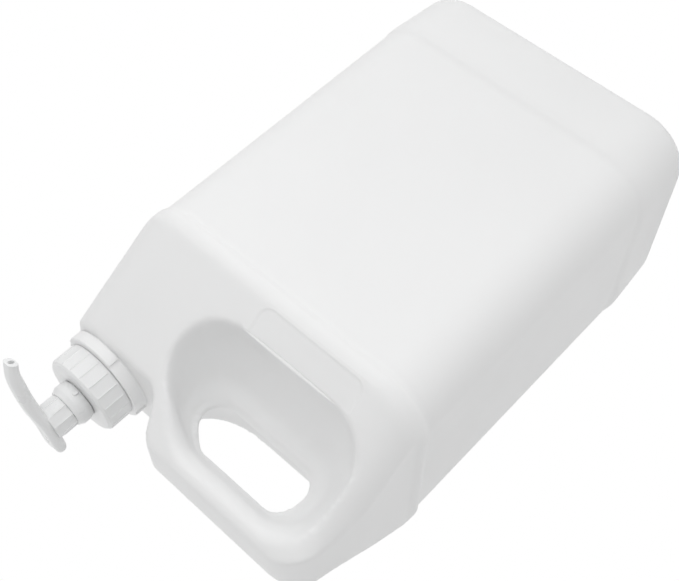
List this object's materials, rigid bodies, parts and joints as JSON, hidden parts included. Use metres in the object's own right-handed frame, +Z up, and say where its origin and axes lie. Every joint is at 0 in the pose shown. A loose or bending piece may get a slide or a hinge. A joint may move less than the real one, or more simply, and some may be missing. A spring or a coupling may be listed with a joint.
{
  "type": "pump dispenser bottle",
  "caption": "Large white rounded-rectangular canister bottle with a grip through its sloping shoulder and a lock-down lotion pump on a ribbed screw closure.",
  "frame": {"origin": "middle of the standing face, at the height of the standing rim", "axes": "+Z up, -Y the front, -X the handle's end, +X the pump's end"},
  "size_m": [0.184, 0.1396, 0.3266],
  "materials": {
    "bottle_shell": "fine blow-moulded satin",
    "closure_plastic": "semi gloss",
    "pump_plastic": "semi gloss",
    "gasket_foam": "closed foam",
    "housing_plastic": "natural satin",
    "tube_plastic": "natural, slightly translucent",
    "seal_plastic": "soft satin",
    "stem_plastic": "semi gloss",
    "spring_steel": "drawn wire",
    "ball_steel": "polished"
  },
  "bodies": {
    "bottle": {"bottle": "bottle_shell"},
    "pump_unit": {"pump_housing": "housing_plastic", "gasket": "gasket_foam", "chaplet": "pump_plastic", "dip_tube": "tube_plastic", "return_spring": "spring_steel"},
    "closure": {"screw_closure": "closure_plastic"},
    "piston": {"piston_seal": "seal_plastic"},
    "actuator": {"pump_head": "pump_plastic", "pump_stem": "stem_plastic"},
    "ball": {"inlet_ball": "ball_steel"}
  },
  "joints": [
    {"name": "pump_rise", "type": "slide", "parent": "bottle", "child": "pump_unit", "axis": [0, 0, 1], "range_m": [0, 0.0061]},
    {"name": "closure_unscrew", "type": "hinge", "parent": "pump_unit", "child": "closure", "pos_m": [0.0644, 0, 0.292], "axis": [0, 0, 1], "range_deg": [0, 540]},
    {"name": "pump_stroke", "type": "slide", "parent": "pump_unit", "child": "piston", "axis": [0, 0, 1], "range_m": [0, 0.018], "deforming": ["return_spring"]},
    {"name": "head_swivel", "type": "hinge", "parent": "piston", "child": "actuator", "pos_m": [0.0644, 0, 0.31], "axis": [0, 0, 1], "continuous": true},
    {"name": "inlet_ball_lift", "type": "slide", "parent": "pump_unit", "child": "ball", "axis": [0, 0, 1], "range_m": [0, 0.0015]}
  ],
  "couplings": [
    {"joint": "pump_rise", "follows": "closure_unscrew", "m_per_rad": 0.00063662}
  ]
}
